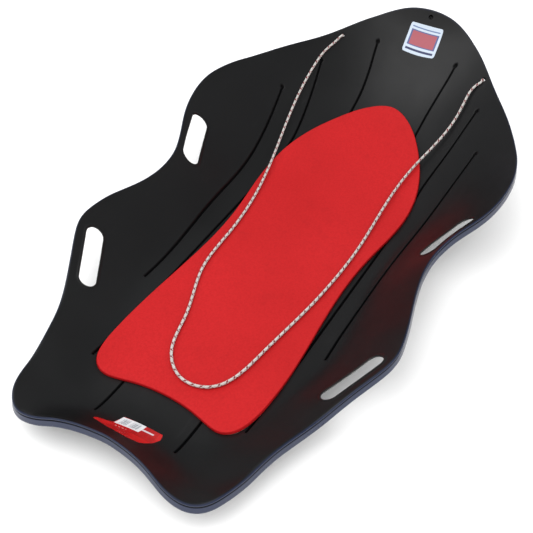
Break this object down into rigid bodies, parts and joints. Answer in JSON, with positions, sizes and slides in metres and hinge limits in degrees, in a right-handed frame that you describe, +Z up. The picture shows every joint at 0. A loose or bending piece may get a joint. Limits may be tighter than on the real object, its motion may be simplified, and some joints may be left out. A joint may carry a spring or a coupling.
{
  "type": "snow sled",
  "caption": "Long dished plastic snow sled with upturned nose, hand slots along both sides, glued foam pad and a tow rope loop through the nose.",
  "frame": {"origin": "on the ground under the middle of the sled, bottom centre of its bounding box", "axes": "+X towards the upturned nose, +Y to the rider's left, +Z up"},
  "size_m": [1.2209, 0.6802, 0.2283],
  "materials": {
    "shell_plastic": "semi-gloss moulded polyethylene, black, with a navy sheen on the edge band",
    "pad_foam": "closed-cell foam, red, satin fine grain",
    "adhesive": "clear acrylic adhesive film",
    "sticker_print": "glossy printed vinyl",
    "label_print": "glossy printed vinyl",
    "rope_braid": "braided cord, white with red tracer"
  },
  "bodies": {
    "sled": {"sled_shell": "shell_plastic", "foam_pad": "pad_foam", "pad_adhesive": "adhesive", "nose_sticker": "sticker_print", "tail_label": "label_print", "rope_end_left": "rope_braid", "rope_end_right": "rope_braid"},
    "rope_front": {"rope_front_left": "rope_braid", "rope_front_right": "rope_braid"},
    "rope_mid": {"rope_mid_left": "rope_braid", "rope_mid_right": "rope_braid"},
    "rope_back": {"rope_rear": "rope_braid"}
  },
  "joints": [
    {"name": "rope_lift", "type": "hinge", "parent": "sled", "child": "rope_front", "pos_m": [0.513, 0, 0.17], "axis": [0, 1, 0], "range_deg": [0, 115]},
    {"name": "rope_bend_front", "type": "hinge", "parent": "rope_front", "child": "rope_mid", "pos_m": [0.206, 0.16339, 0.03326], "axis": [0, 0.9998, 0.0196], "range_deg": [0, 60]},
    {"name": "rope_bend_rear", "type": "hinge", "parent": "rope_mid", "child": "rope_back", "pos_m": [-0.098, 0.1171, 0.01954], "axis": [0, 1, 0], "range_deg": [0, 60]}
  ]
}
